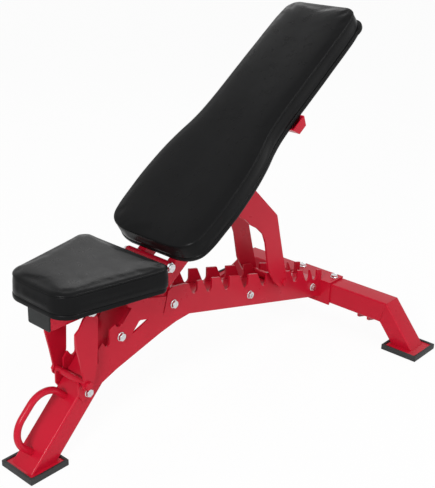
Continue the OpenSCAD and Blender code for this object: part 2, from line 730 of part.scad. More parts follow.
module strut_plate(sgn) color(paint) placed() difference() {
    flank(sgn, arm_y, arm_out) {
        polygon(rounded(strut_edge));
        translate(strut_pivot) circle(r = link_head_r, $fn = facets);
    }
    rod(strut_pivot, link_bolt_d + 2 * run_fit, -far, far);
    rod(seat_bar, seat_bar_d, -far, far);
}
module seat_bar_tube() color(paint) placed() headed_bar(seat_bar, seat_bar_d);

module link_bolt(p) {
    rod(p, link_bolt_d, -arm_out - side_gap - weld, arm_out + side_gap + flange_t + link_head_h);
    flanged(p, -1, arm_out + side_gap, link_af, link_head_h, link_flange_d, flange_t);
}
module link_nut(p)
    flanged_nut(p, 1, arm_out + side_gap, link_bolt_d, link_af, link_head_h, link_flange_d, flange_t);
module strut_bolt() color(zinc) placed() link_bolt(strut_pivot);
module strut_nut() color(zinc) placed() link_nut(strut_pivot);

// ---------------------------------------------------------------- back

function half_edge(in) = let (l = back_pad_l, w = back_edge[len(back_edge) - 2][1])
    concat([for (p = smooth_line(back_edge, edge_steps)) [max(p[0], 0) + in * (1 - p[0] / (l / 2)),
        max(0, p[1] - in)]],
        [for (a = [0:10:90]) [l - back_top_r + (back_top_r - in) * sin(a),
            w - back_top_r + (back_top_r - in) * cos(a)]]);
module back_shape(in) translate([pad_start_s, 0]) {
    half = [for (p = half_edge(in)) if (p[1] > weld) p];
    polygon(concat(half, [for (i = [len(half) - 1:-1:0]) [half[i][0], -half[i][1]]]));
}

module back_screw_bores() {
    for (s = strap_s, sgn = [-1, 1]) on_back_plane(-far, far + screw_bite)
        translate([s + strap_w / 2, sgn * strap_screw_y]) circle(d = screw_d, $fn = facets);
    for (sgn = [-1, 1]) on_back_plane(-far, far + screw_bite)
        translate([(upper_web_s[0] + upper_web_s[1]) / 2, sgn * upper_screw_y])
            circle(d = screw_d, $fn = facets);
}

module back_pad() color(vinyl) placed() difference() {
    on_back_plane(soft_gap, back_pad_h - soft_gap) back_shape(0);
    on_back_plane(-far, far + board_t + soft_gap) back_shape(board_inset - soft_gap);
}
module back_board() color(board_col) placed() difference() {
    on_back_plane(0, board_t) back_shape(board_inset);
    back_screw_bores();
}

// Rectangular tube beside the hinge, coped round the sleeve
module back_rail(sgn) color(paint) placed() difference() {
    w = rail_y[1] - rail_y[0];
    h = rail_n[1] - rail_n[0];
    len = rail_s[1] - rail_s[0];
    translate([axle_x, sgn * (rail_y[0] + rail_y[1]) / 2, axle_z]) rotate([0, -back_angle, 0])
        translate([(rail_s[0] + rail_s[1]) / 2, 0, (rail_n[0] + rail_n[1]) / 2]) difference() {
            box_bar(w, h, len);
            box_bar(w - 2 * tube_wall, h - 2 * tube_wall, len - 2 * tube_wall,
                tube_r - tube_wall / 2);
        }
    rod([axle_x, axle_z], sleeve_d, -far, far, round_facets);
}

module back_sleeve(sgn) color(paint) placed() difference() {
    flank(sgn, back_sleeve_y, sleeve_end_y) translate([axle_x, axle_z])
        circle(d = sleeve_d, $fn = round_facets);
    rod([axle_x, axle_z], axle_d + 2 * run_fit, -far, far);
}

module back_beam() color(paint) placed() difference() {
    translate([axle_x, 0, axle_z]) rotate([0, -back_angle, 0])
        translate([(beam_in_back_s[0] + beam_in_back_s[1]) / 2, 0,
            (beam_in_back_n[0] + beam_in_back_n[1]) / 2])
            box_tube(2 * beam_in_back_y, beam_in_back_n[1] - beam_in_back_n[0],
                beam_in_back_s[1] - beam_in_back_s[0]);
    back_slab(-far, far) upper_profile(0, 0);
    rod(arm_pivot, sleeve_d, -far, far, round_facets);
}
module arm_sleeve() color(paint) placed() cross_sleeve(arm_pivot);

module mount_straps() color(paint) placed() difference() {
    for (s = strap_s) on_back_plane(rail_n[1], -rail_n[1])
        translate([s, -strap_y]) square([strap_w, 2 * strap_y]);
    back_screw_bores();
}

// Side profile of the upper bracket: flanks that lean in to a narrower web, drawn in by wall
function upper_flank(k, n, wall) = let (run = upper_web_s[k] - upper_s[k])
    [upper_s[k] + run * n / upper_n - (2 * k - 1) * wall * norm([run, upper_n]) / -upper_n, n];
module upper_profile(wall, lift) polygon([upper_flank(0, lift, wall),
    upper_flank(0, upper_n + wall, wall), upper_flank(1, upper_n + wall, wall),
    upper_flank(1, lift, wall)]);

// Folded bracket across the back, open towards the board, with closed ends
module upper_bracket() color(paint) placed() difference() {
    back_slab(-upper_y, upper_y) upper_profile(0, 0);
    back_slab(tube_wall - upper_y, upper_y - tube_wall) upper_profile(tube_wall, 1);
    back_screw_bores();
}

module back_screw(s, y, n) {
    on_back_plane(n - screw_head_t, screw_head_t) translate([s, y])
        circle(d = screw_head_d, $fn = facets);
    on_back_plane(n - weld, screw_bite - n) translate([s, y]) circle(d = screw_d, $fn = facets);
}
module back_screws() color(zinc) placed() for (sgn = [-1, 1]) {
    for (s = strap_s) back_screw(s + strap_w / 2, sgn * strap_screw_y, rail_n[1]);
    back_screw((upper_web_s[0] + upper_web_s[1]) / 2, sgn * upper_screw_y, upper_n);
}

// ---------------------------------------------------------------- back arm

module arm_plate(sgn) color(paint) placed() difference() {
    flank(sgn, arm_y, arm_out) {
        difference() {
            polygon(rounded(arm_edge));
            translate([axle_x, axle_z]) rotate(back_angle) translate([-far, -arm_pivot_n])
                square([2 * far, far]);
        }
        translate(arm_pivot) circle(r = link_head_r, $fn = facets);
    }
    rod(arm_pivot, link_bolt_d + 2 * run_fit, -far, far);
    rod(catch_bar, catch_d, -far, far);
}
module catch_bar_tube() color(paint) placed() headed_bar(catch_bar, catch_d);
module arm_bolt() color(zinc) placed() link_bolt(arm_pivot);
module arm_nut() color(zinc) placed() link_nut(arm_pivot);

// ---------------------------------------------------------------- assembly

front_shoe();
front_foot_plate();
front_leg();
carry_handle();
seat_ladder(-1);  // seat_ladder_near
seat_ladder(1);  // seat_ladder_far
spine();
back_ladder(-1);  // back_ladder_near
back_ladder(1);  // back_ladder_far
leg_bolts();
leg_nuts();
spine_bolts();
spine_nuts();
hinge_post(-1);  // hinge_post_near
hinge_post(1);  // hinge_post_far
main_axle();
axle_nut();
beam_saddle();
saddle_bolts();
rear_beam();
rear_leg(-1);  // rear_leg_near
rear_leg(1);  // rear_leg_far
rear_foot_plate(-1);  // rear_foot_plate_near
rear_foot_plate(1);  // rear_foot_plate_far
rear_shoe(-1);  // rear_shoe_near
rear_shoe(1);  // rear_shoe_far
wheel_ears(-1);  // wheel_ears_near
wheel_ears(1);  // wheel_ears_far
wheel_bolt(-1);  // wheel_bolt_near
wheel_bolt(1);  // wheel_bolt_far
wheel(-1);  // wheel_near
wheel(1);  // wheel_far
seat_pad();
seat_board();
seat_tube();
seat_tube_cap();
seat_hinge();
strut_sleeve();
seat_screws();
strut_plate(-1);  // strut_plate_near
strut_plate(1);  // strut_plate_far
seat_bar_tube();
strut_bolt();
strut_nut();
back_pad();
back_board();
back_rail(-1);  // back_rail_near
back_rail(1);  // back_rail_far
back_sleeve(-1);  // back_sleeve_near
back_sleeve(1);  // back_sleeve_far
back_beam();
arm_sleeve();
mount_straps();
upper_bracket();
back_screws();
arm_plate(-1);  // arm_plate_near
arm_plate(1);  // arm_plate_far
catch_bar_tube();
arm_bolt();
arm_nut();
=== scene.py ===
"""An adjustable weight bench: red powder-coated steel frame, tilting seat, reclining back."""
import json
import math

import bmesh
import bpy
import numpy as np
from mathutils import Matrix, Vector
from mathutils.kdtree import KDTree


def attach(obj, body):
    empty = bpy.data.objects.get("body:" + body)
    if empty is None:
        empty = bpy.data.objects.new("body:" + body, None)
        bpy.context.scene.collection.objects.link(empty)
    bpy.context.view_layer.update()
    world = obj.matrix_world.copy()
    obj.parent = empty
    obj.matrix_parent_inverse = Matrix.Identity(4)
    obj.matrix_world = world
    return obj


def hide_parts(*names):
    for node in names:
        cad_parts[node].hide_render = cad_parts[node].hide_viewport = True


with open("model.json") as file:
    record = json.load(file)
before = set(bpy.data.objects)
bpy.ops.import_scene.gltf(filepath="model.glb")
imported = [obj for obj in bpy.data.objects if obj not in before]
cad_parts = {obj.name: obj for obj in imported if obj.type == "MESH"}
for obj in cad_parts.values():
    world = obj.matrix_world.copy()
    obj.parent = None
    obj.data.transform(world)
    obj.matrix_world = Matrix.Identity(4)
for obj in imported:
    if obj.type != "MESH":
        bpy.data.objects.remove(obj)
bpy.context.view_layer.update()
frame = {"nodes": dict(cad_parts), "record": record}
MM = 0.001

# ------------------------------------------------------------------ welded steel frame
# Rectangular and round tubes and 5 mm laser-cut plates, MIG-welded, then powder coated in
# gloss red. The coat is thicker than paint, so every cut edge and tube corner is slightly
# rounded and the flat faces carry a faint orange-peel ripple.

COAT_REDS = (0.50, 0.0070, 0.026, 1), (0.465, 0.0060, 0.022, 1)
COAT_ROUGHNESS = 0.27, 0.34
COAT_SHINE = 0.15
CLEAR_SKIN, CLEAR_SKIN_ROUGHNESS = 0.06, 0.10
PEEL_SIZE, PEEL_DEPTH = 300.0, 0.03 * MM
EDGE_ANGLE = math.radians(30)
SAME_FACE_ANGLE = math.radians(0.5)
SAME_PLACE = 1e-6
PLATE_EDGE = 0.7 * MM


def shader_nodes(name):
    """A new material with its node tree and the Principled shader in it."""
    material = bpy.data.materials.new(name)
    material.use_nodes = True
    tree = material.node_tree
    return material, tree, tree.nodes["Principled BSDF"]


def noise(tree, scale, detail=2.0, distortion=0.0):
    """Noise laid through the object's own space, scale in waves per metre."""
    place = tree.nodes.new("ShaderNodeTexCoord")
    texture = tree.nodes.new("ShaderNodeTexNoise")
    texture.inputs["Scale"].default_value = scale
    texture.inputs["Detail"].default_value = detail
    texture.inputs["Distortion"].default_value = distortion
    tree.links.new(place.outputs["Object"], texture.inputs["Vector"])
    return texture.outputs["Fac"]


def spread(tree, value, low, high, start=0.3, end=0.7):
    """Maps a value between start and end to the range low to high."""
    node = tree.nodes.new("ShaderNodeMapRange")
    for key, number in (("From Min", start), ("From Max", end), ("To Min", low), ("To Max", high)):
        node.inputs[key].default_value = number
    tree.links.new(value, node.inputs["Value"])
    return node.outputs["Result"]


def tint(tree, value, first, second):
    """A colour that runs from first to second with the value."""
    node = tree.nodes.new("ShaderNodeValToRGB")
    node.color_ramp.elements[0].color = first
    node.color_ramp.elements[1].color = second
    tree.links.new(value, node.inputs["Fac"])
    return node.outputs["Color"]


def bumps(tree, shader, heights):
    """Chains bump nodes, each from a (value, depth in metres) pair, into the shader."""
    normal = None
    for value, depth in heights:
        node = tree.nodes.new("ShaderNodeBump")
        node.inputs["Strength"].default_value = 1.0
        node.inputs["Distance"].default_value = depth
        tree.links.new(value, node.inputs["Height"])
        if normal is not None:
            tree.links.new(normal, node.inputs["Normal"])
        normal = node.outputs["Normal"]
    tree.links.new(normal, shader.inputs["Normal"])


def mottle(tree, shader, clouds, colours, wear, roughness):
    """Two noises, each (waves per metre, detail, distortion), drive the shader: clouds runs
    from the first colour to the second, and wear from the first roughness to the second."""
    tree.links.new(tint(tree, spread(tree, noise(tree, *clouds), 0, 1), *colours),
                   shader.inputs["Base Color"])
    tree.links.new(spread(tree, noise(tree, *wear), *roughness), shader.inputs["Roughness"])


def powder_coat():
    """Gloss red coat: two close reds in soft clouds, orange peel and a thin clear skin."""
    material, tree, shader = shader_nodes("red_powder_coat")
    mottle(tree, shader, (9, 3), COAT_REDS, (35, 4), COAT_ROUGHNESS)
    bumps(tree, shader, [(noise(tree, PEEL_SIZE, 1), PEEL_DEPTH)])
    shader.inputs["Specular IOR Level"].default_value = COAT_SHINE
    shader.inputs["Coat Weight"].default_value = CLEAR_SKIN
    shader.inputs["Coat Roughness"].default_value = CLEAR_SKIN_ROUGHNESS
    return material


def finish(piece, material, body, slot, *nodes):
    """Gives a piece its finish, lets it ride on its body and stand for its CAD nodes."""
    piece.data.materials.clear()
    piece.data.materials.append(material)
    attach(piece, body)
    if nodes:
        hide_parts(*nodes)
    return piece


def body_of(node):
    """The body that carries a CAD node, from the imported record."""
    bodies = frame["record"]["behaviour"]["bodies"]
    return next(name for name, held in bodies.items() if node in held)


def softened(node, soften, steps=2):
    """Copy of a CAD piece with its triangles joined into faces, and its sharp edges rounded."""
    mesh = frame["nodes"][node].data.copy()
    mesh.name = node + "_dressed"
    form = bmesh.new()
    form.from_mesh(mesh)
    bmesh.ops.remove_doubles(form, verts=form.verts, dist=SAME_PLACE)
    bmesh.ops.dissolve_limit(form, angle_limit=SAME_FACE_ANGLE, verts=form.verts,
                             edges=form.edges)
    form.to_mesh(mesh)
    form.free()
    for name in [a.name for a in mesh.attributes if a.name == "custom_normal"]:
        mesh.attributes.remove(mesh.attributes[name])
    mesh.polygons.foreach_set("use_smooth", np.ones(len(mesh.polygons), bool))
    mesh.set_sharp_from_angle(angle=EDGE_ANGLE)
    piece = bpy.data.objects.new(node + "_dressed", mesh)
    bpy.context.collection.objects.link(piece)
    bevel = piece.modifiers.new("rounded edges", "BEVEL")
    bevel.width, bevel.segments = soften, steps
    bevel.limit_method, bevel.angle_limit = "ANGLE", EDGE_ANGLE
    bevel.miter_outer = "MITER_ARC"
    bevel.harden_normals = True
    return piece


red_coat = powder_coat()
TUBES = ["front_leg", "spine", "rear_beam", "rear_leg_near", "rear_leg_far", "carry_handle",
         "seat_tube", "seat_bar_tube", "strut_sleeve", "back_beam", "back_rail_near",
         "back_rail_far", "back_sleeve_near", "back_sleeve_far", "arm_sleeve",
         "catch_bar_tube", "seat_hinge"]
PLATES = ["front_foot_plate", "rear_foot_plate_near", "rear_foot_plate_far",
          "seat_ladder_near", "seat_ladder_far", "back_ladder_near", "back_ladder_far",
          "hinge_post_near", "hinge_post_far", "beam_saddle", "wheel_ears_near",
          "wheel_ears_far", "strut_plate_near", "strut_plate_far", "mount_straps",
          "upper_bracket", "arm_plate_near", "arm_plate_far"]
for name in TUBES + PLATES:
    finish(softened(name, PLATE_EDGE), red_coat, body_of(name), "frame_paint", name)

# ------------------------------------------------------------------ rubber shoes
# Three square trays of black moulded rubber, pressed over the welded foot plates.
# The moulding leaves a rounded rim, a satin skin and a fine cast texture.

SHOE_EDGE = 1.6 * MM
RUBBER_BLACKS = (0.019, 0.020, 0.020, 1), (0.030, 0.031, 0.031, 1)
RUBBER_ROUGHNESS = 0.52, 0.68
RUBBER_SHINE = 0.3
CAST_SIZE, CAST_DEPTH = 1500, 0.04 * MM


def moulded_rubber():
    """Black rubber with a slightly dusty, cast skin."""
    material, tree, shader = shader_nodes("moulded_rubber")
    mottle(tree, shader, (60, 5), RUBBER_BLACKS, (240, 3), RUBBER_ROUGHNESS)
    bumps(tree, shader, [(noise(tree, CAST_SIZE, 2), CAST_DEPTH)])
    shader.inputs["Specular IOR Level"].default_value = RUBBER_SHINE
    return material


black_rubber = moulded_rubber()
for name in ("front_shoe", "rear_shoe_near", "rear_shoe_far"):
    finish(softened(name, SHOE_EDGE, 3), black_rubber, "frame", "rubber", name)

# ------------------------------------------------------------------ seat tube cap
# Black polyethylene plug pushed into the open front end of the seat tube. Its face is
# lightly grained and its edges are rounded by the mould.

CAP_EDGE = 1.4 * MM
CAP_BLACKS = (0.016, 0.017, 0.017, 1), (0.022, 0.024, 0.024, 1)
CAP_ROUGHNESS = 0.38, 0.5
CAP_SHINE = 0.15
MOULD_GRAIN, MOULD_GRAIN_DEPTH = 2200, 0.03 * MM


def moulded_plastic():
    """Satin black plastic with the fine spark-eroded grain of its mould."""
    material, tree, shader = shader_nodes("moulded_plastic")
    mottle(tree, shader, (25, 3), CAP_BLACKS, (900, 2), CAP_ROUGHNESS)
    bumps(tree, shader, [(noise(tree, MOULD_GRAIN, 2), MOULD_GRAIN_DEPTH)])
    shader.inputs["Specular IOR Level"].default_value = CAP_SHINE
    return material


finish(softened("seat_tube_cap", CAP_EDGE, 3), moulded_plastic(), "seat", "cap_plastic",
       "seat_tube_cap")

# ------------------------------------------------------------------ bolts and nuts
# Flanged hexagon bolts and nuts in bright zinc-plated steel, through the side plates
# and the links. Each head is turned to a chamfer, and a few threads show past each nut.

ZINC_GREYS = (0.54, 0.55, 0.56, 1), (0.72, 0.73, 0.74, 1)
ZINC_ROUGHNESS = 0.16, 0.30
ZINC_GRAIN, ZINC_GRAIN_DEPTH = 1900, 0.02 * MM
HEX_STEPS, SHANK_STEPS = 72, 24
THREAD_PITCH, THREAD_DEPTH, THREAD_LONG = 1.5 * MM, 0.45 * MM, 16 * MM
ROWS_A_PITCH = 5
TIP_LONG, TIP_SHARE = 0.8 * MM, 0.86
SHANK_SUNK = 0.3 * MM
CHAMFER_SLOPE = math.tan(math.radians(30))
CHAMFER_FROM = 0.97
FLANGE_T = 1.5 * MM
SCREW_EDGE = 0.4 * MM


def zinc_plate():
    """Bright zinc: pale blue-white metal, faintly mottled, with a fine grain."""
    material, tree, shader = shader_nodes("bright_zinc")
    mottle(tree, shader, (260, 4), ZINC_GREYS, (480, 4), ZINC_ROUGHNESS)
    bumps(tree, shader, [(noise(tree, ZINC_GRAIN, 3), ZINC_GRAIN_DEPTH)])
    shader.inputs["Metallic"].default_value = 1.0
    return material


def sheet_mesh(name, grids):
    """One mesh from grids of points, each closed round its second axis; u-v turns outwards."""
    points, faces, base = [], [], 0
    for grid in grids:
        rows, cols = grid.shape[:2]
        i, j = np.meshgrid(np.arange(rows - 1), np.arange(cols), indexing="ij")
        k = (j + 1) % cols
        quads = np.stack([i * cols + j, i * cols + k, (i + 1) * cols + k, (i + 1) * cols + j], -1)
        points.append(grid.reshape(-1, 3))
        faces.append(quads.reshape(-1, 4) + base)
        base += rows * cols
    mesh = bpy.data.meshes.new(name)
    mesh.from_pydata(np.concatenate(points).tolist(), [], np.concatenate(faces).tolist())
    form = bmesh.new()
    form.from_mesh(mesh)
    bmesh.ops.remove_doubles(form, verts=form.verts, dist=SAME_PLACE)
    bmesh.ops.dissolve_degenerate(form, edges=form.edges, dist=SAME_PLACE / 10)
    bmesh.ops.recalc_face_normals(form, faces=form.faces)
    form.to_mesh(mesh)
    form.free()
    mesh.polygons.foreach_set("use_smooth", np.ones(len(mesh.polygons), bool))
    mesh.set_sharp_from_angle(angle=EDGE_ANGLE)
    piece = bpy.data.objects.new(name, mesh)
    bpy.context.collection.objects.link(piece)
    return piece


def turned(radius, height, turn):
    """Grid of points radius out from the Z axis at the height, for each turn round it."""
    radius, height, turn = np.broadcast_arrays(radius, height, turn)
    return np.stack([radius * np.cos(turn), radius * np.sin(turn), height], -1)


def hex_head(across, tall, flange, flange_t, hole=0.0):
    """Flange, then a hexagon whose radius is the flat distance over the cosine of the angle
    from the nearest flat, cut by a 30-degree cone at its top. Seat at z = 0, top at tall.
    Each row is a (radius, height): seat, flange, fillet, flats, chamfer, dished top, hole."""
    turn = np.linspace(0, 2 * math.pi, HEX_STEPS, endpoint=False)
    flat = across / 2
    near = (turn + math.pi / 6) % (math.pi / 3) - math.pi / 6
    hexagon = flat / np.cos(near)
    face = flat * CHAMFER_FROM
    cut = np.maximum(hexagon - face, 0) * CHAMFER_SLOPE
    soft = flange_t * 0.35
    rows = [(hole, 0.0), (flange - soft, 0.0), (flange, soft), (flange, flange_t - soft),
            (flange - soft, flange_t), (hexagon * 0.5 + flange * 0.5, flange_t * 1.15),
            (hexagon * 1.02, flange_t * 1.35), (hexagon, flange_t * 1.6),
            (hexagon, tall - cut), (face, tall), (flat * 0.9, tall),
            (flat * 0.82, tall - 0.3 * MM), (max(hole, flat * 0.3), tall - 0.35 * MM),
            (hole, tall - 0.35 * MM)]
    return np.stack([turned(r, np.broadcast_to(z, turn.shape), turn) for r, z in rows])


def shank(radius, low, high, thread_from):
    """Rod whose radius past thread_from is cut by a V groove that climbs one pitch a turn."""
    turn = np.linspace(0, 2 * math.pi, SHANK_STEPS, endpoint=False)
    steps = np.concatenate([[low, thread_from - 0.01 * MM],
                            np.arange(thread_from, high - TIP_LONG,
                                      THREAD_PITCH / ROWS_A_PITCH)])
    height = steps[:, None] + 0 * turn
    phase = (height / THREAD_PITCH - turn / (2 * math.pi)) % 1
    groove = np.abs(phase - 0.5) * 2 * THREAD_DEPTH * (height >= thread_from)
    body = turned(radius - groove, height, turn[None, :])
    tip = np.stack([turned(radius * TIP_SHARE, np.full(turn.shape, high), turn),
                    turned(0.0, np.full(turn.shape, high), turn)])
    foot = turned(0.0, np.full(turn.shape, low), turn)[None]
    return np.concatenate([foot, body, tip])


def set_along(grid, axis, place):
    """Turns a grid that points up Z to point along the axis, and moves it to its place."""
    turn = Vector((0, 0, 1)).rotation_difference(Vector(axis)).to_matrix()
    return grid @ np.array(turn).T + np.array(place)


def solids_in(node):
    """Boxes of the separate solids in a CAD node, lowest first."""
    form = bmesh.new()
    form.from_mesh(frame["nodes"][node].data)
    bmesh.ops.remove_doubles(form, verts=form.verts, dist=SAME_PLACE)
    left, boxes = set(form.verts), []
    while left:
        group, edge = set(), [left.pop()]
        while edge:
            vertex = edge.pop()
            group.add(vertex)
            for link in vertex.link_edges:
                other = link.other_vert(vertex)
                if other in left:
                    left.discard(other)
                    edge.append(other)
        co = np.array([v.co for v in group])
        boxes.append((co.min(0), co.max(0)))
    form.free()
    return sorted(boxes, key=lambda b: tuple(b[0][[2, 0, 1]].round(5)))


def bolts(node, side, across, tall, flange, shank_d, flange_t=FLANGE_T, axis=1):
    """All the bolts of a node: side gives the way each head faces along the axis, and each
    shank runs from under its head to the far end of its CAD solid."""
    grids = []
    for (low, high), way in zip(solids_in(node), side):
        middle = (low + high) / 2
        along = np.eye(3)[axis] * way
        head_end = high[axis] if way > 0 else low[axis]
        tip_end = low[axis] if way > 0 else high[axis]
        under = head_end - way * (tall + flange_t)
        place = middle.copy()
        place[axis] = under
        grids.append(set_along(hex_head(across, tall + flange_t, flange / 2, flange_t),
                               along, place))
        length = abs(tip_end - under)
        grids.append(set_along(shank(shank_d / 2, -SHANK_SUNK, length, length - THREAD_LONG),
                               -along, place))
    return sheet_mesh(node + "_turned", grids)


def nuts(node, side, across, tall, flange, bore, flange_t=FLANGE_T, axis=1):
    """All the nuts of a node: each seat is the end of its solid away from its face."""
    grids = []
    for (low, high), way in zip(solids_in(node), side):
        place = (low + high) / 2
        place[axis] = low[axis] if way > 0 else high[axis]
        grids.append(set_along(hex_head(across, tall + flange_t, flange / 2, flange_t, bore / 2),
                               np.eye(3)[axis] * way, place))
    return sheet_mesh(node + "_turned", grids)


FRAME_BOLT = dict(across=17 * MM, tall=6 * MM, flange=21 * MM)
LINK_BOLT = dict(across=19 * MM, tall=7 * MM, flange=24 * MM)
AXLE_BOLT = dict(across=19 * MM, tall=6 * MM, flange=24 * MM, flange_t=2 * MM)
bright_zinc = zinc_plate()
fasteners = [
    bolts("leg_bolts", (-1, -1), shank_d=10 * MM, **FRAME_BOLT),
    nuts("leg_nuts", (1, 1), bore=9.4 * MM, **FRAME_BOLT),
    bolts("spine_bolts", (1, -1, -1), shank_d=10 * MM, **FRAME_BOLT),
    nuts("spine_nuts", (-1, 1, 1), bore=9.4 * MM, **FRAME_BOLT),
    bolts("main_axle", (-1,), shank_d=16 * MM, **AXLE_BOLT),
    nuts("axle_nut", (1,), bore=15.4 * MM, **AXLE_BOLT),
    bolts("saddle_bolts", (1, 1), shank_d=10 * MM, axis=2, **FRAME_BOLT),
    bolts("strut_bolt", (-1,), shank_d=12 * MM, **LINK_BOLT),
    nuts("strut_nut", (1,), bore=11.4 * MM, **LINK_BOLT),
    bolts("arm_bolt", (-1,), shank_d=12 * MM, **LINK_BOLT),
    nuts("arm_nut", (1,), bore=11.4 * MM, **LINK_BOLT),
]
for piece in fasteners:
    name = piece.name.removesuffix("_turned")
    finish(piece, bright_zinc, body_of(name), "fasteners", name)
for name in ("wheel_bolt_near", "wheel_bolt_far", "seat_screws", "back_screws"):
    finish(softened(name, SCREW_EDGE), bright_zinc, body_of(name), "fasteners", name)

# ------------------------------------------------------------------ transport wheels
# Two solid rubber-tyred wheels behind the rear beam, each on a bolt between two ears.
# They touch the floor only when the front of the bench is lifted by its handle.

WHEEL_EDGE = 1.2 * MM

for name in ("wheel_near", "wheel_far"):
    finish(softened(name, WHEEL_EDGE, 3), black_rubber, name, "rubber", name)

# ------------------------------------------------------------------ cushion boards
# Plywood panels, painted black, that the cushions are built on. The vinyl is drawn round
# their edges, and screws through the steel below hold them.

BOARD_EDGE = 0.6 * MM
PLY_BLACKS = (0.014, 0.013, 0.012, 1), (0.030, 0.027, 0.024, 1)
PLY_ROUGHNESS = 0.6, 0.8
PLY_GRAIN, PLY_GRAIN_DEPTH = 700, 0.1 * MM


def painted_ply():
    """Black-painted plywood whose grain still shows as fine streaks."""
    material, tree, shader = shader_nodes("painted_plywood")
    mottle(tree, shader, (130, 6, 2.0), PLY_BLACKS, (90, 4), PLY_ROUGHNESS)
    bumps(tree, shader, [(noise(tree, PLY_GRAIN, 5, 1.5), PLY_GRAIN_DEPTH)])
    return material


black_ply = painted_ply()
for name in ("seat_board", "back_board"):
    finish(softened(name, BOARD_EDGE), black_ply, body_of(name), "board", name)

# ------------------------------------------------------------------ seat cushion
# Firm foam on its board under black grained vinyl: a crowned top panel, sewn to a side
# band along a pinched seam, over a lip where the vinyl is drawn round the board's edge.

# Plain lengths here are in millimetres, and those times MM in metres. Stations count from
# the front end of the bench.

STATION = 588.0
SEAT_FLOOR = 372.0
SEAT_FRONT, SEAT_REAR = 66, 335
SEAT_NARROW, SEAT_WIDE = 91, 147
SEAT_CORNERS = [(SEAT_FRONT, -SEAT_NARROW), (SEAT_REAR, -SEAT_WIDE),
                (SEAT_REAR, SEAT_WIDE), (SEAT_FRONT, SEAT_NARROW)]
SEAT_CORNER_R = [52, 26, 26, 52]
SEAT_SPINE = 160, 240
SEAT_RIM = 52.0
SEAT_CROWN = 3.1
SEAT_LIP_IN = 5.0
LIP_TALL = 11.5
BAND_BULGE = 1.4
ROLL_WIDE, ROLL_TALL = 13.0, 6.0
ROLL_START, ROLL_END = math.radians(8), math.radians(78)
GRID_STEP = 4.0
BAND_ROWS, ROLL_ROWS, CROWN_ROWS, ARC_STEPS = 9, 9, 25, 40
VINYL_BLACKS = (0.0048, 0.0049, 0.0052, 1), (0.0068, 0.0069, 0.0072, 1)
VINYL_ROUGHNESS, VINYL_SHINE = (0.26, 0.35), 0.07
PEBBLE_SIZE, PEBBLE_DEPTH = 620, 0.12 * MM
FOAM_WAVE, FOAM_WAVE_DEPTH = 11, 0.6 * MM
SKIN_GRAIN, SKIN_GRAIN_DEPTH = 1500, 0.02 * MM

# The swelling: voxels of the copy, its pressure and frames, and how far above the lip it is
# held. A point takes the mean move of its nearest points, up to the cap. The move starts a
# little above the lip and is whole a blend higher.

SWELL_VOXEL, SWELL_PRESSURE, SWELL_FRAMES = 5 * MM, 4, 20
SWELL_HELD, SWELL_NEAREST, SWELL_SOFT, SWELL_CAP = 3 * MM, 8, 2 * MM, 2 * MM
SWELL_FROM, SWELL_BLEND = 2 * MM, 10 * MM


def vinyl_cover():
    """Black vinyl: pebbled grain, soft uneven sheen and a slow drift of its black."""
    material, tree, shader = shader_nodes("black_vinyl")
    mottle(tree, shader, (7, 3), VINYL_BLACKS, (40, 3), VINYL_ROUGHNESS)
    place = tree.nodes.new("ShaderNodeTexCoord")
    pebble = tree.nodes.new("ShaderNodeTexVoronoi")
    pebble.feature = "SMOOTH_F1"
    pebble.inputs["Scale"].default_value = PEBBLE_SIZE
    pebble.inputs["Randomness"].default_value = 1.0
    tree.links.new(place.outputs["Object"], pebble.inputs["Vector"])
    bumps(tree, shader, [(noise(tree, FOAM_WAVE, 2), FOAM_WAVE_DEPTH),
                         (pebble.outputs["Distance"], PEBBLE_DEPTH),
                         (noise(tree, SKIN_GRAIN, 2), SKIN_GRAIN_DEPTH)])
    shader.inputs["Specular IOR Level"].default_value = VINYL_SHINE
    return material


def rounded_line(corners, radius, spacing):
    """Closed outline of straight runs and corner arcs, resampled at even spacing, with the
    outward normal at each point. An arc's centre lies on the bisector of its corner, at the
    radius over the sine of half the corner's angle."""
    corners, radius = np.array(corners, float), np.array(radius, float)
    before, after = np.roll(corners, 1, 0), np.roll(corners, -1, 0)
    u = (before - corners) / np.linalg.norm(before - corners, axis=1)[:, None]
    v = (after - corners) / np.linalg.norm(after - corners, axis=1)[:, None]
    half = np.arccos((u * v).sum(1)) / 2
    middle = (u + v) / np.linalg.norm(u + v, axis=1)[:, None]
    centre = corners + middle * (radius / np.sin(half))[:, None]
    first = corners + u * (radius / np.tan(half))[:, None] - centre
    last = corners + v * (radius / np.tan(half))[:, None] - centre
    a = np.arctan2(first[:, 1], first[:, 0])
    sweep = (np.arctan2(last[:, 1], last[:, 0]) - a + math.pi) % (2 * math.pi) - math.pi
    steps = np.linspace(0, 1, ARC_STEPS)
    angle = a[:, None] + sweep[:, None] * steps
    arcs = centre[:, None] + radius[:, None, None] * np.stack([np.cos(angle), np.sin(angle)], -1)
    return evened(arcs.reshape(-1, 2), spacing)


def evened(line, spacing):
    """A closed line resampled at even spacing, with its outward normals."""
    closed = np.vstack([line, line[:1]])
    run = np.concatenate([[0], np.cumsum(np.linalg.norm(np.diff(closed, axis=0), axis=1))])
    count = int(round(run[-1] / spacing / 2)) * 2
    at = np.linspace(0, run[-1], count, endpoint=False)
    points = np.stack([np.interp(at, run, closed[:, k]) for k in (0, 1)], -1)
    along = np.roll(points, -1, 0) - np.roll(points, 1, 0)
    along /= np.linalg.norm(along, axis=1)[:, None]
    normal = np.stack([along[:, 1], -along[:, 0]], -1)
    after = np.roll(points, -1, 0)
    area = (points[:, 0] * after[:, 1] - points[:, 1] * after[:, 0]).sum()
    return points, normal if area > 0 else -normal


